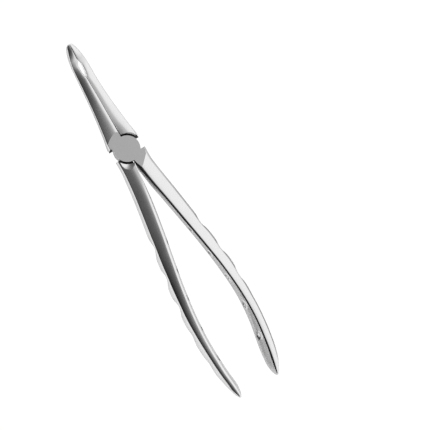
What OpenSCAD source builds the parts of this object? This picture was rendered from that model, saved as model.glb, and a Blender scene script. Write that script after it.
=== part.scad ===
// Extraction forceps of the English pattern: two forged levers that cross in a lap joint
// on one hidden rivet. The pivot axis is Z, the beaks point along +Y and the handles along -Y.
// The origin lies on the pivot axis, on the rear face of the joint.

/* [Joint] */
// Thickness of the lap joint along the pivot axis
joint_t = 10; // [9.6:0.1:10.4]
// Radius of the round cheek of each lever
cheek_r = 6.35; // [6.1:0.05:6.6]
// Gap between a cheek and the curved shoulder around it
shoulder_gap = 0.9; // [0.5:0.05:1]
// Gap between the two lapped cheeks
lap_gap = 0.06; // [0.04:0.01:0.1]

/* [Rivet] */
// Radius of the rivet's shank
rivet_r = 2.4; // [2:0.1:2.8]
// Radius of the rivet's countersunk heads at the joint's faces
head_r = 3.4; // [3.2:0.1:3.8]
// Depth of the countersunk heads
head_h = 1.1; // [0.8:0.1:1.5]
// Radial clearance of the shank in the rear lever
running_gap = 0.03; // [0.02:0.01:0.06]

/* [Beaks] */
// Distance from the pivot to the beak tips
beak_len = 54.4; // [50:0.2:58]
// Distance from the pivot to the start of the forward bend
bend_start = 24; // [20:0.5:28]
// Radius of the forward bend
bend_r = 55; // [50:1:70]
// Half of the hairline gap between the closed beaks
seam_half = 0.06; // [0.04:0.01:0.1]
// Sideways offset of the seam next to the joint, towards the right beak
seam_lean = 0.3; // [0:0.05:0.4]

/* [Handles] */
// Distance from the pivot to the handle ends
handle_len = 125.4; // [115:0.2:135]
// Distance from the pivot to the first finger scallop
scallop_start = 46; // [43:0.5:49]
// Spacing of the finger scallops
scallop_pitch = 14.7; // [14:0.1:15.4]
// Part of the outer crown that a scallop takes away
scallop_depth = 0.75; // [0.3:0.05:1]

/* [Hidden] */
$fn = 96;

// The station tables below are drawn for these sizes and scaled to the ones above
table_t = 10;
table_beak = 54.4;
table_handle = 125.4;

half_t = joint_t / 2;
thick_scale = joint_t / table_t;
beak_scale = beak_len / table_beak;
handle_scale = handle_len / table_handle;
shoulder_r = cheek_r + shoulder_gap; // curved shoulder round the other lever's cheek
shoulder_y = 3.7; // where that shoulder runs out to the side
room_reach = 10; // past the outside of either lever
past = 1; // how far a cutter passes the face that it cuts
beak_foot = 2.2; // where a beak starts inside its cheek
lean_from = 26; // the seam comes back to the middle between these two distances
lean_to = 42;
handle_foot = 3; // where a handle starts inside its cheek
end_round = 8; // length of a handle's rounded end
end_cap = 0.12; // width left at its last ring
end_thin = 0.7; // power by which its depth follows its width
scallops = 5;
lobe_power = 4; // a higher one makes the scallops narrower
face_hollow = 0.04; // hollow of the whole inner face of a beak
corner = 0.35; // bevel between a beak's inner face and its sides
beak_rings = 33;
tip_crowding = 0.06; // draws the rings closer together towards the tip
body_rings = 46;
end_rings = 8;

// Beak stations: distance from the pivot, width from the seam, depth across the bend,
// height of the outer crease as a part of the half depth, gap at the inner face, hollow
beak_tab = [
    [ 2.2, 7.60, 10.0, 0.96, 0.00, 0.0],
    [ 8.0, 6.70, 10.0, 0.95, 0.00, 0.0],
    [14.0, 5.82,  9.3, 0.92, 0.00, 0.0],
    [21.0, 5.02,  8.4, 0.91, 0.00, 0.0],
    [28.0, 4.42,  7.5, 0.89, 0.00, 0.0],
    [35.0, 4.02,  6.8, 0.87, 0.00, 0.0],
    [38.0, 3.90,  6.5, 0.86, 0.50, 0.0],
    [41.0, 3.80,  6.3, 0.86, 1.15, 0.0],
    [44.0, 3.67,  6.1, 0.87, 1.25, 0.0],
    [46.6, 3.47,  5.8, 0.90, 0.45, 0.1],
    [48.2, 3.27,  5.5, 0.92, 0.02, 0.4],
    [49.8, 2.98,  5.1, 0.88, 0.00, 0.7],
    [52.0, 2.35,  4.1, 0.80, 0.00, 0.4],
    [53.4, 1.70,  2.9, 0.75, 0.00, 0.1],
    [54.4, 0.80,  1.2, 0.70, 0.00, 0.0]];

// Handle stations: distance from the pivot, inner and outer edge of the front face,
// inner and outer crown
right_edges = [
    [  3.0,  0.14,  7.60, 0.00, 0.05],
    [  6.0,  0.14,  7.60, 0.00, 0.15],
    [  9.0,  0.20,  7.65, 0.02, 0.28],
    [ 13.7,  1.03,  8.20, 0.30, 0.45],
    [ 20.0,  2.35,  9.15, 0.75, 0.55],
    [ 27.4,  3.85, 10.35, 0.72, 0.60],
    [ 41.0,  6.40, 12.40, 0.65, 0.75],
    [ 55.0,  9.05, 14.50, 0.75, 0.90],
    [ 68.5, 11.35, 16.15, 1.20, 1.15],
    [ 82.5, 12.75, 16.80, 1.55, 1.05],
    [ 96.0, 12.85, 16.55, 2.25, 0.90],
    [110.0, 11.30, 15.05, 2.95, 0.90],
    [119.0,  9.65, 12.80, 2.35, 0.60],
    [124.8,  8.40, 10.70, 1.50, 0.40]];
left_edges = [
    [  3.0,  0.14,  7.10, 0.00, 0.05],
    [  6.0,  0.14,  7.10, 0.00, 0.15],
    [  9.0,  0.18,  7.10, 0.02, 0.28],
    [ 13.7,  0.65,  7.40, 0.30, 0.50],
    [ 20.0,  1.45,  8.00, 0.70, 0.55],
    [ 27.4,  2.35,  8.95, 0.90, 0.60],
    [ 41.0,  4.40, 10.85, 0.90, 0.75],
    [ 55.0,  7.20, 12.75, 0.95, 0.90],
    [ 68.5,  9.60, 14.25, 1.05, 1.15],
    [ 82.5, 11.20, 15.15, 1.15, 1.20],
    [ 96.0, 11.70, 15.05, 1.25, 1.60],
    [110.0, 11.20, 14.15, 1.35, 1.30],
    [119.0, 10.40, 13.00, 1.50, 0.60],
    [125.4,  9.60, 11.90, 1.20, 0.40]];

// Handle depth: distance from the pivot, half depth at the inner and at the outer edge
depth_tab = [
    [  3.0, 5.0, 5.0],
    [  8.0, 5.0, 4.9],
    [ 13.7, 5.0, 4.5],
    [ 27.4, 5.0, 4.3],
    [ 41.0, 5.0, 4.2],
    [ 55.0, 5.0, 4.1],
    [ 68.5, 5.0, 4.1],
    [ 82.5, 5.0, 4.2],
    [ 96.0, 5.0, 4.3],
    [110.0, 4.7, 4.1],
    [119.0, 4.2, 3.6],
    [125.4, 3.6, 3.1]];

// Slope of column c of a station table at row i
function slope(tab, i, c) =
    let (lo = max(i - 1, 0), hi = min(i + 1, len(tab) - 1))
    (tab[hi][c] - tab[lo][c]) / (tab[hi][0] - tab[lo][0]);

// Smooth value of column c of a station table at distance s
function at(tab, s, c) =
    let (i = max([0, for (j = [1 : len(tab) - 2]) if (tab[j][0] <= s) j]),
         h = tab[i + 1][0] - tab[i][0],
         u = (s - tab[i][0]) / h,
         p = tab[i][c],
         q = tab[i + 1][c],
         mp = slope(tab, i, c) * h,
         mq = slope(tab, i + 1, c) * h)
    p + u * (mp + u * (3 * (q - p) - 2 * mp - mq + u * (2 * (p - q) + mp + mq)));

// Closed skin over a list of rings with the same number of points
module skin(rings) {
    n = len(rings[0]);
    m = len(rings);
    sides = [for (i = [0 : m - 2], j = [0 : n - 1])
        [i * n + j, (i + 1) * n + j, (i + 1) * n + (j + 1) % n, i * n + (j + 1) % n]];
    start = [for (j = [0 : n - 1]) j];
    finish = [for (j = [n - 1 : -1 : 0]) (m - 1) * n + j];
    polyhedron([for (ring = rings) each ring], concat([start, finish], sides), convexity = 6);
}

// Beak section at distance y: the flat inner face, the rounded front, the flat outer side
function beak_section(y, lean) =
    let (w = at(beak_tab, y, 1),
         half_d = min(at(beak_tab, y, 2), table_t) / 2,
         crease = half_d * at(beak_tab, y, 3),
         back = min(max((y - lean_from) / (lean_to - lean_from), 0), 1),
         gap = seam_half + max(at(beak_tab, y, 4), 0) + lean * (1 - back),
         hollow = max(at(beak_tab, y, 5), 0) + face_hollow,
         edge = min(corner, w / 4),
         inner = [for (q = [-1 : 2 / 3 : 1.01])
             [gap + hollow * (1 - q * q), q * (half_d - edge)]],
         front = [for (a = [0 : 22.5 : 90])
             [gap + edge + (w - gap - edge) * sin(a), crease + (half_d - crease) * cos(a)]],
         rear = [[w - edge / 2, edge - half_d], [w - 2 * edge, -half_d], [gap + edge, -half_d]])
    concat(inner, front, rear);

// Half of the pair of beaks, drawn on the +X side; the lean moves its inner face outwards
module beak(lean) {
    rings = [for (i = [0 : beak_rings])
        let (k = i / beak_rings,
             along = k + tip_crowding * sin(180 * k),
             y = (beak_foot + (table_beak - beak_foot) * along) * beak_scale,
             reach = max(y - bend_start, 0),
             tilt = asin(reach / bend_r),
             rise = bend_r * (1 - cos(tilt)))
        [for (p = beak_section(y / beak_scale, lean))
            [p.x, y - p.y * sin(tilt), half_t + rise + p.y * cos(tilt) * thick_scale]]];
    skin(rings);
}

// Height of the lobe between two scallops, from 0 in a scallop to 1 between them
function lobe(s) =
    let (k = (s - scallop_start) / scallop_pitch)
    k < -0.5 || k > scallops - 0.5 ? 1 : 1 - pow(abs(cos(180 * k)), lobe_power);

// Handle section at distance s: front and rear faces that fall towards the outside,
// between two crowned sides
function handle_section(edges, s, shrink) =
    let (mid = (at(edges, s, 1) + at(edges, s, 2)) / 2,
         half_w = shrink * (at(edges, s, 2) - at(edges, s, 1)) / 2,
         crown_in = shrink * max(at(edges, s, 3), 0),
         crown_out = shrink * at(edges, s, 4) * (1 - scallop_depth * (1 - lobe(s))),
         thin = pow(shrink, end_thin) * thick_scale,
         half_in = thin * min(at(depth_tab, s, 1), table_t / 2),
         half_out = thin * min(at(depth_tab, s, 2), table_t / 2),
         outer = [for (q = [-1 : 1 / 3 : 1.01])
             [mid + half_w + crown_out * (1 - q * q), half_out * q]],
         inner = [for (q = [1 : -1 / 3 : -1.01])
             [mid - half_w - crown_in * (1 - q * q), half_in * q]])
    concat(outer, inner);

// One handle, drawn on the +X side
module handle(edges) {
    end_start = edges[len(edges) - 1][0] - end_round;
    rings = [for (i = [0 : body_rings + end_rings])
        let (turn = 90 * max(i - body_rings, 0) / end_rings,
             along = min(i / body_rings, 1),
             s = handle_foot + (end_start - handle_foot) * along + end_round * sin(turn),
             shrink = max(cos(turn), end_cap))
        [for (p = handle_section(edges, s, shrink)) [p.x, -s * handle_scale, half_t + p.y]]];
    skin(rings);
}

// Round cheek of the front lever, on the front half of the joint
module cheek() {
    translate([0, 0, half_t + lap_gap / 2])
        cylinder(h = half_t - lap_gap / 2, r = cheek_r);
}

// Room in the front lever for the other lever's cheek
module cheek_room() {
    room_h = half_t + lap_gap / 2 + past;
    translate([0, 0, -past]) cylinder(h = room_h, r = shoulder_r);
    translate([-room_reach, 0, -past]) cube([room_reach, shoulder_y, room_h]);
}

// Shank with a countersunk head at each end, larger by gap all round
module rivet_shape(gap) {
    head_cone = head_r - rivet_r;
    rotate_extrude()
        polygon([
            [0, 0],
            [head_r + gap, 0],
            [head_r + gap - head_cone, head_h],
            [head_r + gap - head_cone, joint_t - head_h],
            [head_r + gap, joint_t],
            [0, joint_t]]);
}

// Lever with the left beak, the front cheek and the right handle
module front_lever() {
    color("gainsboro")
        difference() {
            union() {
                mirror([1, 0, 0]) beak(-seam_lean);
                handle(right_edges);
                cheek();
            }
            cheek_room();
            rivet_shape(0);
        }
}

// Lever with the right beak, the rear cheek and the left handle
module rear_lever() {
    color("silver")
        difference() {
            union() {
                beak(seam_lean);
                mirror([1, 0, 0]) handle(left_edges);
                turned() cheek();
            }
            turned() cheek_room();
            rivet_shape(running_gap);
        }
}

// Half turn about the long axis through the middle of the joint
module turned() {
    translate([0, 0, joint_t]) rotate([0, 180, 0]) children();
}

// Rivet pressed into the front lever and ground flush at both faces
module pivot_rivet() {
    color("darkgray") rivet_shape(0);
}

front_lever();
rear_lever();
pivot_rivet();
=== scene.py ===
import math

import bmesh
import bpy
from mathutils import Matrix, Vector


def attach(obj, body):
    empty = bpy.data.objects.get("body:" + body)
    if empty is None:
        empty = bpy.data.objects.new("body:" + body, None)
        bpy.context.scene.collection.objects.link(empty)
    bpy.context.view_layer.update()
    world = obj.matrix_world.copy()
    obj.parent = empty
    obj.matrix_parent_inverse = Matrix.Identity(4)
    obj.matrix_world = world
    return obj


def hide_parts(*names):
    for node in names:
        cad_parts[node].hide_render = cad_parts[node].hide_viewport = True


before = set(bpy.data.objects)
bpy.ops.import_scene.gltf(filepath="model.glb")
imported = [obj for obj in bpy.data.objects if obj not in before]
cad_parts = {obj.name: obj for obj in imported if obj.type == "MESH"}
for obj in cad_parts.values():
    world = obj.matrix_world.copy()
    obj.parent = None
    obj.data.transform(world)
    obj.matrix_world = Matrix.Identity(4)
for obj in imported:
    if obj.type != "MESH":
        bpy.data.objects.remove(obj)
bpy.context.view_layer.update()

# Lengths below are in millimetres and angles in degrees, in the frame of the CAD: the pivot
# axis is Z, the beaks point along +Y and the handles along -Y. The joint lies between z = 0 and
# z = JOINT_T. A name that ends in _FADE is a stretch, as two distances from the pivot, along
# which a size changes.
MM = 0.001
JOINT_T = 10.0
MID = JOINT_T / 2

# Finishes, as places in the list STEELS; the last is a near-black steel that paints the shade in
# the joint's recesses and on the beak's foot
POLISHED, SATIN, GROUND, PAINTED_SHADE = 0, 1, 2, 3

# Beak stations: distance from the pivot, width from the seam, half depth, gap at the inner face,
# hollow of the spoon, height of the front above the half depth on the front lever, width of the
# rounding at the seam on the left and on the right beak, tilt of the front at its outer edge
WIDTH, DEPTH, GAP, HOLLOW, RAISED, SEAM_LEFT, SEAM_RIGHT, EDGE_TILT = range(1, 9)
BEAK = [
    [2.2, 7.60, 4.97, 0.08, 0.0, 0.55, 1.3, 3.6, 0.14],
    [5.6, 7.15, 4.97, 0.08, 0.0, 0.52, 1.3, 3.6, 0.14],
    [8.9, 6.50, 4.97, 0.08, 0.0, 0.06, 1.3, 3.0, 0.14],
    [14.0, 5.82, 4.65, 0.04, 0.0, -0.03, 1.3, 1.9, 0.15],
    [21.0, 5.02, 4.20, 0.00, 0.0, 0.00, 1.3, 1.4, 0.17],
    [28.0, 4.42, 3.75, 0.00, 0.0, 0.00, 1.2, 1.3, 0.22],
    [35.0, 4.02, 3.40, 0.00, 0.0, 0.00, 0.9, 1.1, 0.24],
    [38.0, 3.90, 3.25, 0.05, 0.0, 0.00, 0.7, 0.8, 0.24],
    [40.0, 3.84, 3.16, 0.60, 0.0, 0.00, 0.5, 0.6, 0.23],
    [43.0, 3.72, 3.06, 0.92, 0.0, 0.00, 0.5, 0.5, 0.18],
    [45.2, 3.57, 2.96, 0.70, 0.1, 0.00, 1.1, 0.6, 0.10],
    [46.8, 3.41, 2.86, 0.05, 0.3, 0.00, 1.6, 0.6, 0.07],
    [48.2, 3.27, 2.76, 0.00, 0.4, 0.00, 1.7, 0.6, 0.06],
    [49.8, 2.98, 2.53, 0.00, 0.7, 0.00, 0.8, 0.5, 0.13],
    [52.0, 2.35, 2.03, 0.00, 0.4, 0.00, 0.2, 0.4, 0.30],
    [53.4, 1.70, 1.38, 0.00, 0.1, 0.00, 0.1, 0.3, 0.30],
    [54.4, 0.80, 0.50, 0.00, 0.0, 0.00, 0.1, 0.1, 0.20],
]

# Handle stations: distance from the pivot, inner and outer edge of the front face, inner and
# outer crown, and the share of the outer crown that the scallops take away
INNER, OUTER, INNER_CROWN, OUTER_CROWN, SCALLOPED = range(1, 6)
RIGHT = [
    [3.0, 0.14, 7.60, 0.00, 0.05, 0.0],
    [6.0, 0.14, 7.60, 0.00, 0.15, 0.0],
    [9.0, 0.20, 7.70, 0.02, 0.25, 0.0],
    [13.7, 1.03, 8.35, 0.30, 0.30, 0.0],
    [20.0, 2.35, 9.40, 0.75, 0.35, 0.0],
    [27.4, 3.85, 10.65, 0.72, 0.35, 0.2],
    [41.0, 6.40, 12.75, 0.65, 0.45, 0.5],
    [55.0, 9.05, 14.95, 0.75, 0.55, 0.6],
    [68.5, 11.35, 16.60, 1.20, 0.75, 0.7],
    [82.5, 12.75, 17.15, 1.55, 0.68, 0.4],
    [96.0, 12.85, 16.80, 2.45, 0.60, 0.0],
    [110.0, 11.30, 15.10, 3.20, 0.70, 0.0],
    [119.0, 9.65, 12.80, 2.45, 0.60, 0.0],
    [124.8, 8.40, 10.70, 1.50, 0.40, 0.0],
]
LEFT = [
    [3.0, 0.14, 7.10, 0.00, 0.05, 0.0],
    [6.0, 0.14, 7.10, 0.00, 0.15, 0.0],
    [9.0, 0.18, 7.10, 0.02, 0.28, 0.0],
    [13.7, 0.65, 7.40, 0.30, 0.50, 0.0],
    [20.0, 1.45, 8.00, 0.70, 0.55, 0.0],
    [27.4, 2.35, 8.95, 0.90, 0.60, 0.2],
    [41.0, 4.40, 10.85, 0.90, 0.75, 0.6],
    [55.0, 6.90, 12.75, 0.95, 0.90, 0.6],
    [68.5, 9.25, 14.25, 1.05, 1.15, 0.6],
    [82.5, 11.00, 15.30, 1.15, 1.05, 0.5],
    [96.0, 11.70, 15.20, 1.25, 1.38, 0.35],
    [110.0, 11.20, 14.30, 1.35, 1.15, 0.35],
    [119.0, 10.40, 13.00, 1.50, 0.60, 0.2],
    [125.4, 9.60, 11.90, 1.20, 0.40, 0.0],
]

# Handle section: distance from the pivot, half depth, height of the front's inner edge above the
# half depth, width of the inner chamfer, tilts of the front at its inner edge, middle and outer
# edge, and the slope of the right handle's outer bevel
HALF_DEPTH, LIFT, CHAMFER, TILTS, BEVEL_SLOPE = 1, 2, 3, (4, 5, 6), 7
SECTION = [
    [3.0, 5.0, 0.95, 1.2, 0.00, 0.14, 0.15, 0.55],
    [5.2, 5.0, 0.66, 1.2, 0.00, 0.14, 0.15, 0.55],
    [7.4, 5.0, 0.36, 1.2, 0.00, 0.14, 0.15, 0.55],
    [9.6, 5.0, 0.07, 1.2, 0.00, 0.14, 0.15, 0.55],
    [11.5, 5.0, -0.06, 1.1, 0.00, 0.14, 0.15, 0.55],
    [13.7, 5.0, -0.08, 1.0, 0.00, 0.14, 0.15, 0.55],
    [20.0, 5.0, -0.08, 0.7, 0.00, 0.15, 0.17, 0.56],
    [27.4, 5.0, -0.08, 0.7, 0.01, 0.15, 0.18, 0.58],
    [41.0, 5.0, -0.08, 0.75, 0.03, 0.15, 0.20, 0.59],
    [55.0, 5.0, -0.08, 0.7, 0.03, 0.16, 0.30, 0.60],
    [68.5, 5.0, -0.08, 0.6, 0.02, 0.16, 0.42, 0.62],
    [82.5, 5.0, -0.08, 0.6, 0.01, 0.11, 0.42, 0.66],
    [96.0, 5.0, -0.08, 0.6, 0.00, 0.07, 0.42, 0.70],
    [110.0, 4.7, -0.05, 0.7, 0.00, 0.08, 0.45, 0.70],
    [119.0, 4.2, 0.00, 0.8, 0.00, 0.10, 0.45, 0.66],
    [125.4, 3.6, 0.00, 0.4, 0.00, 0.10, 0.45, 0.66],
]

def slope(tab, i, c):
    """Slope of column c at row i of a station table."""
    lo, hi = max(i - 1, 0), min(i + 1, len(tab) - 1)
    return (tab[hi][c] - tab[lo][c]) / (tab[hi][0] - tab[lo][0])


def at(tab, s, c):
    """Smooth value of column c of a station table at distance s."""
    i = max([0] + [j for j in range(1, len(tab) - 1) if tab[j][0] <= s])
    h = tab[i + 1][0] - tab[i][0]
    u = (s - tab[i][0]) / h
    p, q = tab[i][c], tab[i + 1][c]
    mp, mq = slope(tab, i, c) * h, slope(tab, i + 1, c) * h
    return p + u * (mp + u * (3 * (q - p) - 2 * mp - mq + u * (2 * (p - q) + mp + mq)))


def steps(lo, hi, n):
    """n + 1 evenly spaced numbers from lo to hi."""
    return [lo + (hi - lo) * i / n for i in range(n + 1)]


def smooth(lo, hi, v):
    """0 below lo, 1 above hi, and an even blend between them."""
    u = min(max((v - lo) / (hi - lo), 0.0), 1.0)
    return u * u * (3 - 2 * u)


def end_with(pts, finish):
    """The same points, with another finish on the face that follows the last one."""
    return pts[:-1] + [pts[-1][:2] + (finish,)]


# ---------------------------------------------------------------- beaks

SEAM_HALF = 0.06  # half of the gap between the closed beaks
SEAM_LEAN = 0.3  # the seam lies this much to the right of the pivot at the joint
LEAN_FADE = (26.0, 42.0)
BEAK_SPARE = (0.38, 0.15)  # the left beak and the right one are wider than the table by these,
SPARE_LOSS = 0.7  # and lose this share of it towards the tip
SPARE_FADE = (44.0, 52.0)

WINDOW_FROM, WINDOW_TO = 37.0, 46.3  # open window between the closed beaks, polished inside
INNER_DISH = 0.02  # the inner faces are hollow by this much
SPOON_HALF = 0.62  # half width of the spoon's hollow, as a part of the half depth
TEETH_PITCH = 0.65
TEETH_DEPTH = 0.28
TEETH_POWER = 0.8
TEETH_FROM, TEETH_TO = 44.6, 53.9
TEETH_RUN = 0.3  # the grooves at both ends of the row run out along this length
GROOVES_TO = 47.2  # beyond it the grooves leave the spoon's hollow free
GROOVE_END = (0.5, SPOON_HALF)  # and run out between these parts of the half depth

SEAM_EDGE = 0.12  # width of the slant between the inner face and the rounding along the seam
SEAM_MOST = 0.8  # the rounding is never wider than this part of the width
LEFT_TILT = 0.14  # tilt of that rounding on the left beak,
LEFT_TILT_LOSS, LEFT_TILT_FADE = 0.6, (42.0, 46.0)  # which loses this share towards the tip,
RIGHT_TILT = 0.03  # and on the right beak,
RIGHT_TILT_FOOT, RIGHT_TILT_FADE = 2.4, (8.0, 18.0)  # whose foot has this many times as much

FRONT_POWER = 1.7  # the front bends down ever faster towards its outer edge
BEAK_BEVEL = 0.4
FOOT_BEVEL, FOOT_FADE = 0.8, (2.0, 9.0)  # the outer edge is bevelled more at the beak's foot
BEVEL_MOST = 0.17  # the bevel is never wider than this part of the width
BEVEL_STEPS, BEVEL_POWER = (0.3, 0.6, 0.85, 1.0), 1.8
BEAK_CORNER = 0.3  # rounding of the rear edges
REAR_POWER = 0.6

BEND_START, BEND_R = 24.0, 55.0  # beyond the start the beaks bend forwards with this radius
FINE_FROM = TEETH_FROM - 0.6  # the rings lie closer together from here on
COARSE_STEPS, FINE_STEPS = 72, 128
FACE_STEPS = 26


def tooth(y):
    """Depth of the fine cross grooves on the rims of the spoon."""
    begun = smooth(TEETH_FROM - TEETH_RUN, TEETH_FROM, y)
    ended = smooth(TEETH_TO, TEETH_TO + TEETH_RUN, y)
    phase = (y / TEETH_PITCH) % 1.0
    return TEETH_DEPTH * (begun * (1 - ended)) * (1 - abs(2 * phase - 1)) ** TEETH_POWER


def inner_face(y, gap, low, high):
    """Inner face of a beak, from its rear edge to its front edge."""
    hollow = max(at(BEAK, y, HOLLOW), 0.0)
    finish = POLISHED if WINDOW_FROM < y < WINDOW_TO else SATIN
    pts = []
    for q in steps(-1, 1, FACE_STEPS):
        inside = min(abs(q) / SPOON_HALF, 1.0)
        cup = hollow * (1 - inside**2) ** 2
        rim = 1.0 if y < GROOVES_TO else smooth(*GROOVE_END, abs(q))
        x = gap + cup + INNER_DISH * (1 - q * q) + tooth(y) * rim
        pts.append((x, high * q if q > 0 else low * q, finish))
    return end_with(pts, POLISHED)


def seam_tilt(y, right):
    """Tilt of the rounding that runs along the seam."""
    if right:
        rise = RIGHT_TILT_FOOT - 1
        return RIGHT_TILT * (RIGHT_TILT_FOOT - rise * smooth(*RIGHT_TILT_FADE, y))
    return LEFT_TILT * (1 - LEFT_TILT_LOSS * smooth(*LEFT_TILT_FADE, y))


def beak_section(y, side):
    """Section of a beak as (distance from the pivot, height, finish of the next face)."""
    right = side > 0
    w = at(BEAK, y, WIDTH) + BEAK_SPARE[right] * (1 - SPARE_LOSS * smooth(*SPARE_FADE, y))
    half_d = min(at(BEAK, y, DEPTH), MID)
    extra = at(BEAK, y, RAISED)
    if right:
        extra = min(extra, 0.0)
    top = half_d + extra
    lean = side * SEAM_LEAN * (1 - smooth(*LEAN_FADE, y))
    gap = SEAM_HALF + max(at(BEAK, y, GAP), 0.0) + lean
    corner = min(BEAK_CORNER, w / 4)
    rounding = at(BEAK, y, SEAM_RIGHT if right else SEAM_LEFT)
    x0 = gap + min(rounding, SEAM_MOST * (w - gap))
    drop = seam_tilt(y, right) * (x0 - gap) / 2
    pts = inner_face(y, gap, half_d - corner, top - drop - corner / 2)
    for k in steps(0, 1, 4):
        x = gap + SEAM_EDGE + (x0 - gap - SEAM_EDGE) * k
        pts.append((x, top - drop * (1 - k) ** 2, POLISHED))
    bevel = min(BEAK_BEVEL + FOOT_BEVEL * (1 - smooth(*FOOT_FADE, y)), BEVEL_MOST * w)
    width = w - bevel - x0
    fall = width * at(BEAK, y, EDGE_TILT) / FRONT_POWER
    crease = max(top - fall, 0.0)
    for k in steps(0, 1, FACE_STEPS)[1:]:
        pts.append((x0 + width * k, top - (top - crease) * k**FRONT_POWER, POLISHED))
    for k in BEVEL_STEPS:
        pts.append((w - bevel + bevel * k, crease - bevel * k**BEVEL_POWER, POLISHED))
    pts = end_with(pts, SATIN)
    edge, foot = crease - bevel, corner - half_d
    for k in steps(0, 1, 8)[1:]:
        pts.append((w - corner * k / 2, edge + (foot - edge) * k, SATIN))
    pts = end_with(pts, POLISHED)
    for k in steps(0, 1, 12)[1:]:
        x = w - 0.5 * corner - (w - gap - 1.5 * corner) * k
        z = foot - (corner + max(extra, 0.0)) * math.sin(math.pi * k / 2) ** REAR_POWER
        pts.append((x, z, POLISHED))
    return pts


def beak_rings(side):
    """Rings of one beak, with the finishes of each; side is +1 for the right one."""
    coarse = steps(BEAK[0][0], FINE_FROM, COARSE_STEPS)[:-1]
    rings, finishes = [], []
    for y in coarse + steps(FINE_FROM, BEAK[-1][0], FINE_STEPS):
        tilt = math.asin(max(y - BEND_START, 0.0) / BEND_R)
        rise = BEND_R * (1 - math.cos(tilt))
        ring, row = [], []
        for x, z, finish in beak_section(y, side):
            ring.append((side * x, y - z * math.sin(tilt), MID + rise + z * math.cos(tilt)))
            row.append(finish)
        rings.append(ring)
        finishes.append(row)
    return rings, finishes


# ---------------------------------------------------------------- handles

SCALLOP_START, SCALLOP_PITCH, SCALLOPS = 46.0, 14.7, 5  # finger scallops in the outer edge
SCALLOP_POWER = 4
NOTCH = 0.8  # their depth at the rear edge
NOTCH_FADE, NOTCH_END_FADE = (30.0, 45.0), (70.0, 95.0)  # where it begins, and where it ends
FRONT_NOTCH, FRONT_NOTCH_FADE = 0.5, (78.0, 90.0)  # the same at the right handle's front edge
DIMPLES = [46.3, 60.2, 73.8, 88.8, 104.6]
DIMPLE_DEPTH, DIMPLE_POWER = 0.8, 0.7
DIMPLE_Z = 2.9  # height of their middles above the middle of the handle
DIMPLE_HALF = (2.2, 1.4)  # half of their length and half of their width
DIMPLE_EDGE = 0.01  # where they are deeper than this, they are polished

REAR_DROP, REAR_DROP_FADE = 0.22, (7.0, 16.0)  # the rear lever's front is lower at the joint
CHAMFER_TILT = 0.42  # slope of the inner chamfer
LEFT_CHAMFER_FADE = (14.0, 42.0)  # the left handle's chamfer reaches it along this stretch
RIM = 0.12  # small rounding between the inner face and the chamfer
RIGHT_BEVEL, LEFT_BEVEL = 1.15, 0.5  # widths of the outer bevels
LEFT_SLOPE = 0.86  # slope of the left one
BEVEL_SHAPE = ((0.1, 0.07), (0.25, 0.22), (0.45, 0.42), (0.7, 0.68))  # parts of width and fall
CHAMFER_MOST, RIM_MOST, SIDE_BEVEL_MOST = 0.5, 0.1, 0.3  # as parts of the half width
CROWN_POWER, CROWN_LOSS = 2, 0.5  # the inner face is more pointed near the end
CROWN_FADE = (85.0, 112.0)

END_ROUND = 8.0  # length of the rounded end
END_POWER = 0.7  # the end keeps its depth for longer than its width
LAST_RING = 88.5  # angle of the last ring round the end
BODY_STEPS, END_STEPS = 200, 30


def lobe(s):
    """0 in a finger scallop, 1 between two of them."""
    k = (s - SCALLOP_START) / SCALLOP_PITCH
    if k < -0.5 or k > SCALLOPS - 0.5:
        return 1.0
    return 1 - abs(math.cos(math.pi * k)) ** SCALLOP_POWER


def dimple(s, z):
    """Depth of the oval dimples in the inner face."""
    depth = 0.0
    for centre in DIMPLES:
        r = ((s - centre) / DIMPLE_HALF[0]) ** 2 + ((z - DIMPLE_Z) / DIMPLE_HALF[1]) ** 2
        depth = max(depth, DIMPLE_DEPTH * (1 - min(r, 1.0)) ** DIMPLE_POWER)
    return depth


def lift(edges, s):
    """Height of the front's inner edge above the half depth."""
    height = at(SECTION, s, LIFT)
    if edges is RIGHT:
        return height
    return min(height, 0.0) - REAR_DROP * (1 - smooth(*REAR_DROP_FADE, s))


def fallen(tilts, k):
    """Fall of a rounded front at the part k of its width, with the tilts at 0, 1/2 and 1."""
    first, middle, last = tilts
    rise = k - (1 - (1 - k) ** 4) / 4
    return first * k + (middle - first) * rise + (last - middle) * k**4 / 4


def scalloped(points, s, mid, half_w, top, right):
    """Section points with the finger scallops cut into their outer side."""
    scallop = 1 - lobe(s)
    notch = NOTCH * scallop * (1 - smooth(*NOTCH_END_FADE, s)) * smooth(*NOTCH_FADE, s)
    front_notch = 0.0
    if right:
        front_notch = FRONT_NOTCH * scallop * (1 - smooth(*FRONT_NOTCH_FADE, s))
    pts = []
    for x, z in points:
        outwards = max(x - mid, 0.0) / half_w
        cut = notch * outwards**2 * (0.5 - 0.5 * z / top)
        cut += front_notch * outwards**3 * (0.5 + 0.5 * z / top)
        pts.append((x - cut, z))
    return pts


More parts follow.
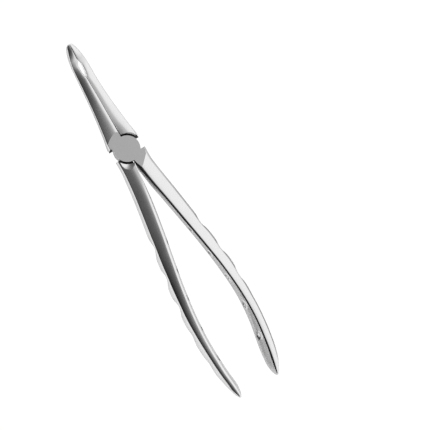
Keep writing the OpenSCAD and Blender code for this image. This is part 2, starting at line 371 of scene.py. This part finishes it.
def handle_section(edges, s, shrink):
    """Section of a handle as (distance outwards, height) points, and the finishes between them."""
    right = edges is RIGHT
    edge_in, edge_out = at(edges, s, INNER), at(edges, s, OUTER)
    mid = (edge_in + edge_out) / 2
    half_w = shrink * (edge_out - edge_in) / 2
    crown_in = shrink * max(at(edges, s, INNER_CROWN), 0.0)
    kept = 1 - at(edges, s, SCALLOPED) * (1 - lobe(s))
    crown_out = shrink * at(edges, s, OUTER_CROWN) * kept
    half_d = shrink**END_POWER * min(at(SECTION, s, HALF_DEPTH), MID)
    top = half_d + lift(edges, s) * shrink**END_POWER
    chamfer = min(at(SECTION, s, CHAMFER), CHAMFER_MOST * half_w)
    rim = min(RIM, RIM_MOST * half_w)
    bevel = min(RIGHT_BEVEL if right else LEFT_BEVEL, SIDE_BEVEL_MOST * half_w)
    bevel_fall = bevel * (at(SECTION, s, BEVEL_SLOPE) if right else LEFT_SLOPE)
    chamfer_fall = chamfer * CHAMFER_TILT * (1.0 if right else smooth(*LEFT_CHAMFER_FADE, s))
    face_in = top - chamfer_fall - rim
    x_in, x_out = mid - half_w + rim + chamfer, mid + half_w - bevel
    width = x_out - x_in
    tilts = [at(SECTION, s, c) for c in TILTS]
    drop = width * fallen(tilts, 1.0)
    face_out = top - drop - bevel_fall
    power = CROWN_POWER - CROWN_LOSS * smooth(*CROWN_FADE, s)
    half = []
    for q in steps(0, 1, 12):
        dent = shrink * dimple(s, face_in * q)
        x = mid - half_w - crown_in * (1 - q**power) + dent
        half.append((x, face_in * q, POLISHED if dent > DIMPLE_EDGE else SATIN))
    half = end_with(half, POLISHED)
    half.append((mid - half_w + 0.3 * rim, face_in + 0.7 * rim, POLISHED))
    for k in steps(0, 1, 4)[:-1]:
        z = top - chamfer_fall * (1 - k) * (1 - 0.25 * k)
        half.append((x_in - chamfer * (1 - k), z, POLISHED))
    for k in steps(0, 1, 18):
        half.append((x_in + width * k, top - width * fallen(tilts, k), POLISHED))
    for k, part in BEVEL_SHAPE:
        half.append((x_out + bevel * k, top - drop - bevel_fall * part, POLISHED))
    for q in steps(1, 0, 12):
        half.append((mid + half_w + crown_out * (1 - q * q), face_out * q, POLISHED))
    points = [(x, z) for x, z, _finish in half]
    points += [(x, -z) for x, z in points[-2:0:-1]]
    finishes = [p[2] for p in half[:-1]]
    return scalloped(points, s, mid, half_w, top, right), finishes + finishes[::-1]


def handle_rings(edges, side):
    """Rings of one handle, with the finishes of each; side is +1 for the right one."""
    length = edges[-1][0]
    body = steps(edges[0][0], length - END_ROUND, BODY_STEPS)
    turns = steps(0, math.radians(LAST_RING), END_STEPS)[1:]
    tip = [length - END_ROUND * (1 - math.sin(a)) for a in turns]
    rings, finishes = [], []
    for s in body + tip:
        k = max(s - (length - END_ROUND), 0.0) / END_ROUND
        pts, row = handle_section(edges, s, math.sqrt(1 - k * k))
        rings.append([(side * x, -s, MID + z) for x, z in pts])
        finishes.append(row)
    return rings, finishes


# ---------------------------------------------------------------- meshes

CREASE = math.radians(28)  # faces that meet at more than this keep a sharp edge
TINY = 0.001 * MM  # points closer than this are joined


def link_mesh(name, verts, faces, finishes):
    """New mesh object from millimetre points; finishes gives each face's material index."""
    mesh = bpy.data.meshes.new(name)
    mesh.from_pydata([tuple(MM * c for c in v) for v in verts], [], faces)
    for mat in STEELS:
        mesh.materials.append(mat)
    mesh.polygons.foreach_set("material_index", finishes)
    mesh.update()
    obj = bpy.data.objects.new(name, mesh)
    bpy.context.scene.collection.objects.link(obj)
    return obj


def face_outwards(obj):
    """Turns the faces outwards."""
    bm = bmesh.new()
    bm.from_mesh(obj.data)
    bmesh.ops.recalc_face_normals(bm, faces=bm.faces)
    bm.to_mesh(obj.data)
    bm.free()


def skin(name, rings, finishes):
    """Closed skin over rings with the same number of points, and a row of finishes for each."""
    n, m = len(rings[0]), len(rings)
    verts = [p for ring in rings for p in ring]
    faces, mats = [], []
    for i in range(m - 1):
        for j in range(n):
            k = (j + 1) % n
            faces.append((i * n + j, i * n + k, (i + 1) * n + k, (i + 1) * n + j))
            mats.append(finishes[i][j])
    faces.append(tuple(range(n - 1, -1, -1)))
    faces.append(tuple(range((m - 1) * n, m * n)))
    mats += [POLISHED, POLISHED]
    obj = link_mesh(name, verts, faces, mats)
    face_outwards(obj)
    return obj


def turned_solid(name, profile, finishes, segments=192):
    """Solid of revolution about Z from (radius, z) points that start and end on the axis."""
    inner = profile[1:-1]
    n = len(inner)
    verts = [(0.0, 0.0, profile[0][1]), (0.0, 0.0, profile[-1][1])]
    for i in range(segments):
        a = 2 * math.pi * i / segments
        verts += [(r * math.cos(a), r * math.sin(a), z) for r, z in inner]
    faces, mats = [], []
    for i in range(segments):
        u, v = 2 + i * n, 2 + (i + 1) % segments * n
        faces.append((0, v, u))
        faces.append((1, u + n - 1, v + n - 1))
        mats += [finishes[0], finishes[-1]]
        for j in range(n - 1):
            faces.append((u + j, v + j, v + j + 1, u + j + 1))
            mats.append(finishes[j + 1])
    obj = link_mesh(name, verts, faces, mats)
    face_outwards(obj)
    return obj


def prism(name, outline, low, high, finish):
    """Straight solid over an outline."""
    n = len(outline)
    verts = [(x, y, low) for x, y in outline] + [(x, y, high) for x, y in outline]
    faces = [(i, (i + 1) % n, n + (i + 1) % n, n + i) for i in range(n)]
    faces += [tuple(range(n - 1, -1, -1)), tuple(range(n, 2 * n))]
    obj = link_mesh(name, verts, faces, [finish] * (n + 2))
    face_outwards(obj)
    return obj


def combine(base, other, operation):
    """Exact Boolean of base with other, which is used up."""
    mod = base.modifiers.new("cut", "BOOLEAN")
    mod.operation = operation
    mod.solver = "EXACT"
    mod.material_mode = "INDEX"
    mod.object = other
    graph = bpy.context.evaluated_depsgraph_get()
    mesh = bpy.data.meshes.new_from_object(base.evaluated_get(graph))
    base.modifiers.clear()
    old = base.data
    base.data = mesh
    bpy.data.meshes.remove(old)
    tool = other.data
    bpy.data.objects.remove(other)
    bpy.data.meshes.remove(tool)


def join_close_points(obj):
    """Joins the points that the cuts left very close together."""
    bm = bmesh.new()
    bm.from_mesh(obj.data)
    bmesh.ops.remove_doubles(bm, verts=bm.verts, dist=TINY)
    bmesh.ops.dissolve_degenerate(bm, edges=bm.edges, dist=TINY / 2)
    bm.to_mesh(obj.data)
    bm.free()


def sharpen(obj):
    """Smooth faces, with sharp edges at the creases and wherever the finish changes."""
    mesh = obj.data
    mesh.polygons.foreach_set("use_smooth", [True] * len(mesh.polygons))
    bm = bmesh.new()
    bm.from_mesh(mesh)
    for edge in bm.edges:
        if len(edge.link_faces) == 2:
            one, two = edge.link_faces
            changed = one.material_index != two.material_index
            edge.smooth = not changed and edge.calc_face_angle() < CREASE
    bm.to_mesh(mesh)
    bm.free()


def turn_over(obj):
    """Half turn about the long axis through the middle of the joint."""
    middle = Matrix.Translation((0, 0, MID * MM))
    obj.data.transform(middle @ Matrix.Rotation(math.pi, 4, "Y") @ middle.inverted())


# ---------------------------------------------------------------- joint

CHEEK_R = 6.12  # round cheek of each lever
CHEEK_SPARE = 0.5  # the cheeks are made this much too thick, and cut flush,
CHEEK_PAST = 1.0  # and reach this far past the middle, where the room cuts them back
SHOULDER_R = 7.12  # curved shoulder round the other lever's cheek
SHOULDER_Y = 3.5  # and the straight one, on the side of the beak
LAP = 0.03  # each half of the joint stays this far from the middle
HEAD_R, HEAD_H = 3.4, 1.1  # countersunk head of the rivet
RIVET_R = 2.4
RUNNING_GAP = 0.03  # play of the rear lever round the rivet

RELIEF_ANGLE, RELIEF_HALF = -57.0, 42.0  # where its middle lies, and how far it reaches both ways
RELIEF_LOW, RELIEF_RISE = 0.3, 0.8  # its depth at both ends, and how much more in the middle
RELIEF_SLOPE = 0.26  # it gets shallower outwards
RIM_FROM, RIM_FULL, RIM_TO = 95.0, 148.0, 158.0  # angles of the chamfer of the shoulder's rim
RIM_NARROW, RIM_WIDE = 0.12, 0.75  # its width where it starts, and from RIM_FULL on
FOOT_X = (-12.0, -6.45)
FOOT_Y = (2.0, 3.4)
FOOT_Z = (-3.0, 0.3)  # heights of the foot's chamfer at the two ends of FOOT_Y, above JOINT_T

ROOM_X, ROOM_Z = -12.0, -3.0  # the room and its cutters reach this far out and down
CUTTER_IN, CUTTER_OUT = 6.0, 10.0  # radii
CUTTER_SPARE, EDGE_SPARE = 0.2, 0.05  # overlap with what is cut away already
OVER = 1.0  # how far a cutter stands out
# Slabs that cut the joint flush with its front and its rear face
SLAB_X, SLAB_Y, SLAB_T = (-14.0, 14.0), (-16.0, 12.0), 4.0


def round_pivot(section, angle):
    """Points from (radius, z) pairs, at an angle round the pivot axis."""
    turn = math.radians(angle)
    return [(r * math.cos(turn), r * math.sin(turn), z) for r, z in section]


def relief():
    """Cutter for the sloping step in a handle's face, just outside the curved shoulder."""
    rings = []
    for a in steps(-RELIEF_HALF, RELIEF_HALF, 48):
        top = RELIEF_LOW + RELIEF_RISE * math.cos(math.pi * a / RELIEF_HALF / 2) ** 2
        far = top - RELIEF_SLOPE * (CUTTER_OUT - SHOULDER_R)
        near = top + EDGE_SPARE
        section = [(CUTTER_IN, ROOM_Z), (CUTTER_OUT, ROOM_Z), (CUTTER_OUT, far)]
        section += [(SHOULDER_R - CUTTER_SPARE, near), (CUTTER_IN, near)]
        rings.append(round_pivot(section, RELIEF_ANGLE + a))
    return skin("relief", rings, [[POLISHED] * 5] * len(rings))


def rim_chamfer():
    """Cutter for the chamfer on the rim of the beak's curved shoulder, wider at its outer end."""
    rings = []
    for angle in steps(RIM_FROM, RIM_TO, 40):
        w = RIM_NARROW + (RIM_WIDE - RIM_NARROW) * smooth(RIM_FROM, RIM_FULL, angle)
        top, out = w + CUTTER_SPARE, SHOULDER_R + w
        section = [(CUTTER_IN, ROOM_Z), (out + OVER, ROOM_Z), (out, 0)]
        section += [(SHOULDER_R - CUTTER_SPARE, top), (CUTTER_IN, top)]
        rings.append(round_pivot(section, angle))
    return skin("rim_chamfer", rings, [[POLISHED] * 5] * len(rings))


def foot_chamfer():
    """Cutter for the chamfered end of the beak's foot, beside the round cheek."""
    near, far = FOOT_Y
    over = JOINT_T + OVER
    section = [(near, JOINT_T + FOOT_Z[0]), (near, over), (far, over), (far, JOINT_T + FOOT_Z[1])]
    rings = [[(x, y, z) for y, z in section] for x in FOOT_X]
    # Its faces take the near-black steel: painted shade where the foot's end lies in shadow
    return skin("foot_chamfer", rings, [[PAINTED_SHADE] * 4] * 2)


def room():
    """Cutter for the space that the other lever's cheek turns in."""
    turn = 2 * math.pi - math.asin(SHOULDER_Y / SHOULDER_R)
    arc = steps(math.pi, math.pi + turn, 160)
    outline = [(SHOULDER_R * math.cos(a), SHOULDER_R * math.sin(a)) for a in arc]
    outline += [(ROOM_X, SHOULDER_Y), (ROOM_X, 0)]
    # The room's walls and floor take the near-black steel: painted shade in the gap round the other
    # lever's cheek
    return prism("room", outline, ROOM_Z, MID + LAP, PAINTED_SHADE)


def rivet_hole(gap):
    """Cutter for the countersunk hole of the rivet."""
    head, shank = HEAD_R + gap, RIVET_R + gap
    far = head + (HEAD_R - RIVET_R) / HEAD_H
    lower = [(0, -OVER), (far, -OVER), (shank, HEAD_H)]
    upper = [(shank, JOINT_T - HEAD_H), (far, JOINT_T + OVER), (0, JOINT_T + OVER)]
    return turned_solid("hole", lower + upper, [SATIN] * 5, 96)


def joint_cuts(obj, flip, gap):
    """Cuts the joint into a lever whose own cheek is in front, or behind with flip."""
    x0, x1 = SLAB_X
    y0, y1 = SLAB_Y
    outline = [(x0, y0), (x1, y0), (x1, y1), (x0, y1)]
    for low, high in ((JOINT_T, JOINT_T + SLAB_T), (-SLAB_T, 0)):
        slab = prism("slab", outline, low, high, GROUND)
        combine(obj, slab, "DIFFERENCE")
    for cut in (room(), relief(), rim_chamfer(), foot_chamfer()):
        if flip:
            turn_over(cut)
        combine(obj, cut, "DIFFERENCE")
    combine(obj, rivet_hole(gap), "DIFFERENCE")


def cheek(flip):
    """Round cheek of a lever, in front of the middle of the joint, or behind it with flip."""
    low, high = MID - CHEEK_PAST, JOINT_T + CHEEK_SPARE
    profile = [(0, low), (CHEEK_R, low), (CHEEK_R, high), (0, high)]
    # Its lower face takes the near-black painted-shade steel of the room
    obj = turned_solid("cheek", profile, [PAINTED_SHADE, SATIN, GROUND])
    if flip:
        turn_over(obj)
    return obj


def lever(name, beak_side, edges, flip, gap):
    """One forged lever: its beak, its half of the joint and its handle."""
    rings, finishes = beak_rings(beak_side)
    obj = skin(name, rings, finishes)
    rings, finishes = handle_rings(edges, -beak_side)
    combine(obj, skin("handle", rings, finishes), "UNION")
    combine(obj, cheek(flip), "UNION")
    joint_cuts(obj, flip, gap)
    join_close_points(obj)
    sharpen(obj)
    return obj


# ---------------------------------------------------------------- materials


class Nodes:
    """Short calls for building a material's nodes."""

    def __init__(self, tree):
        self.tree = tree
        tree.nodes.clear()

    def add(self, kind, ins=None, **settings):
        node = self.tree.nodes.new(kind)
        for key, value in settings.items():
            setattr(node, key, value)
        for key, value in (ins or {}).items():
            if isinstance(value, bpy.types.NodeSocket):
                self.tree.links.new(value, node.inputs[key])
            else:
                node.inputs[key].default_value = value
        return node

    def math(self, operation, a, b=0.0, c=0.0):
        node = self.add("ShaderNodeMath", {0: a, 1: b, 2: c}, operation=operation)
        return node.outputs[0]

    def noise(self, vector, scale, detail=3.0, rough=0.5):
        node = self.add(
            "ShaderNodeTexNoise",
            {"Vector": vector, "Scale": scale, "Detail": detail, "Roughness": rough},
        )
        return node.outputs["Fac"]

    def ramp(self, fac, stops):
        node = self.add("ShaderNodeValToRGB", {"Fac": fac})
        elements = node.color_ramp.elements
        while len(elements) < len(stops):
            elements.new(0.5)
        for element, (pos, value) in zip(elements, stops):
            element.position = pos
            element.color = value if isinstance(value, tuple) else (value, value, value, 1.0)
        return node.outputs["Color"]

    def spread(self, fac, lo, hi):
        node = self.add("ShaderNodeMapRange", {"Value": fac, "To Min": lo, "To Max": hi})
        return node.outputs["Result"]


STRETCH = 0.03  # scale of the marks along the lever, as a part of their scale across it
MARKS = {"scale": 1.0, "detail": 4.0, "rough": 0.6}
WOBBLE_SCALE, CLOUD_SCALE = 60.0, 160.0


def steel(name, tone, rough, spread, brush, depth, rings=False):
    """Stainless steel with its fine finishing marks: along the lever, or in rings on the joint."""
    mat = bpy.data.materials.new(name)
    mat.use_nodes = True
    n = Nodes(mat.node_tree)
    place = n.add("ShaderNodeTexCoord").outputs["Object"]
    if rings:
        xyz = n.add("ShaderNodeSeparateXYZ", {0: place})
        flat = n.add(
            "ShaderNodeCombineXYZ", {"X": xyz.outputs["X"], "Y": xyz.outputs["Y"]}
        ).outputs[0]
        radius = n.add("ShaderNodeVectorMath", {0: flat}, operation="LENGTH").outputs["Value"]
        wobble = n.noise(place, WOBBLE_SCALE, 2.0)
        way = n.add(
            "ShaderNodeCombineXYZ", {"X": n.math("MULTIPLY", radius, brush), "Y": wobble}
        ).outputs[0]
    else:
        way = n.add(
            "ShaderNodeMapping", {"Vector": place, "Scale": (brush, brush * STRETCH, brush)}
        ).outputs[0]
    marks = n.noise(way, **MARKS)
    cloud = n.noise(place, CLOUD_SCALE, 4.0)
    rough_now = n.math(
        "ADD",
        n.spread(cloud, rough - spread, rough + spread),
        n.spread(marks, -spread, spread),
    )
    color = n.ramp(cloud, [(0.25, tone * 0.96), (0.75, tone)])
    bump = n.add(
        "ShaderNodeBump", {"Height": marks, "Strength": 1.0, "Distance": depth}
    ).outputs["Normal"]
    shader = n.add(
        "ShaderNodeBsdfPrincipled",
        {"Base Color": color, "Roughness": rough_now, "Metallic": 1.0, "Normal": bump},
    )
    n.add("ShaderNodeOutputMaterial", {"Surface": shader.outputs[0]})
    return mat


# The depth of the marks is in metres
STEELS = [
    steel("polished_steel", tone=0.86, rough=0.17, spread=0.03, brush=9000.0, depth=6e-7),
    steel("satin_steel", tone=0.64, rough=0.31, spread=0.03, brush=7000.0, depth=1.5e-6),
    steel("ground_steel", tone=0.70, rough=0.36, spread=0.04, brush=9000.0, depth=2e-6, rings=True),
    # Near-black steel that paints the shade in the joint's recesses and at the beak's foot
    steel("painted_shade_steel", tone=0.09, rough=0.55, spread=0.08, brush=4000.0, depth=6e-6),
]


# ---------------------------------------------------------------- scene

WHITE = (1.0, 1.0, 1.0, 1.0)
PALE = (0.9, 0.9, 0.9, 1.0)
BACKDROP = (0.95, 0.95, 0.95, 1.0)
FLOOR_HALF = 2.5  # in metres, like the next one
FLOOR_DROP = 0.0004  # keeps the floor clear of the levers
FLOOR_SEEN, FLOOR_GLOW = 1.05, 0.45  # its brightness for the camera, and for the object

# Brightness of the studio, from its far left (0) to its far right (1)
TENT = [
    (0.000, 1.0),
    (0.020, 0.9),
    (0.050, 0.04),
    (0.100, 0.01),
    (0.220, 0.015),
    (0.320, 0.05),
    (0.420, 0.11),
    (0.480, 0.22),
    (0.520, 0.42),
    (0.580, 0.85),
    (0.640, 1.0),
    (0.930, 1.0),
    (0.955, 0.5),
    (0.980, 0.28),
    (0.990, 0.28),
    (1.000, 0.8),
]

VIEW_TURN, VIEW_ROLL = 6.5, 29.55  # how far the camera stands to the left, and is rolled
VIEW_TARGET = (20.72, -46.39, 4.95)
VIEW_DISTANCE, VIEW_WIDTH = 1200.0, 198.6
SENSOR = 36.0
CLIP_NEAR, CLIP_FAR = 0.05, 20.0  # in metres


def pale_floor():
    """Pale floor under the forceps."""
    mat = bpy.data.materials.new("pale_floor")
    mat.use_nodes = True
    n = Nodes(mat.node_tree)
    paper = n.add("ShaderNodeEmission", {"Color": WHITE, "Strength": FLOOR_SEEN})
    matt = n.add(
        "ShaderNodeBsdfPrincipled",
        {
            "Base Color": PALE,
            "Roughness": 0.9,
            "Emission Color": WHITE,
            "Emission Strength": FLOOR_GLOW,
        },
    )
    seen = n.add("ShaderNodeLightPath").outputs["Is Camera Ray"]
    both = n.add("ShaderNodeMixShader", {0: seen, 1: matt.outputs[0], 2: paper.outputs[0]})
    n.add("ShaderNodeOutputMaterial", {"Surface": both.outputs[0]})
    a = FLOOR_HALF
    mesh = bpy.data.meshes.new("floor")
    mesh.from_pydata([(-a, -a, 0), (a, -a, 0), (a, a, 0), (-a, a, 0)], [], [(0, 1, 2, 3)])
    mesh.materials.append(mat)
    floor = bpy.data.objects.new("floor", mesh)
    floor.location.z = -FLOOR_DROP
    bpy.context.scene.collection.objects.link(floor)


def studio():
    """Soft light round the forceps: bright from the right, dark on the left."""
    world = bpy.data.worlds.new("studio")
    bpy.context.scene.world = world
    world.use_nodes = True
    n = Nodes(world.node_tree)
    direction = n.add("ShaderNodeTexCoord").outputs["Generated"]
    xyz = n.add("ShaderNodeSeparateXYZ", {0: direction})
    across = n.math("MULTIPLY_ADD", xyz.outputs["X"], 0.5, 0.5)
    tent = n.ramp(across, TENT)
    seen = n.add("ShaderNodeLightPath").outputs["Is Camera Ray"]
    color = n.add("ShaderNodeMix", {0: seen, 6: tent, 7: BACKDROP}, data_type="RGBA")
    back = n.add("ShaderNodeBackground", {"Color": color.outputs[2], "Strength": 1.0})
    n.add("ShaderNodeOutputWorld", {"Surface": back.outputs[0]})


def camera():
    """Long lens above the front of the forceps, a little to the left."""
    turn, roll = math.radians(VIEW_TURN), math.radians(VIEW_ROLL)
    along = Vector((0, 1, 0))
    back = Vector((-math.sin(turn), 0, math.cos(turn)))
    side = Vector((math.cos(turn), 0, math.sin(turn)))
    up = math.cos(roll) * along + math.sin(roll) * side
    right = math.cos(roll) * side - math.sin(roll) * along
    data = bpy.data.cameras.new("camera")
    data.sensor_width = SENSOR
    data.lens = SENSOR * VIEW_DISTANCE / VIEW_WIDTH
    data.clip_start, data.clip_end = CLIP_NEAR, CLIP_FAR
    cam = bpy.data.objects.new("camera", data)
    axes = Matrix((right, up, back)).transposed().to_4x4()
    place = Vector(VIEW_TARGET) + back * VIEW_DISTANCE
    cam.matrix_world = Matrix.Translation(place * MM) @ axes
    bpy.context.scene.collection.objects.link(cam)
    bpy.context.scene.camera = cam


camera()
pale_floor()
studio()
bpy.context.scene.view_settings.view_transform = "Standard"

front = lever("front_forging", -1, RIGHT, False, 0.0)
rear = lever("rear_forging", 1, LEFT, True, RUNNING_GAP)
for piece, body, node in ((front, "front", "front_lever"), (rear, "rear", "rear_lever")):
    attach(piece, body)
    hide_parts(node)

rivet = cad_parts["pivot_rivet"]
rivet.data.materials.clear()
rivet.data.materials.append(STEELS[GROUND])
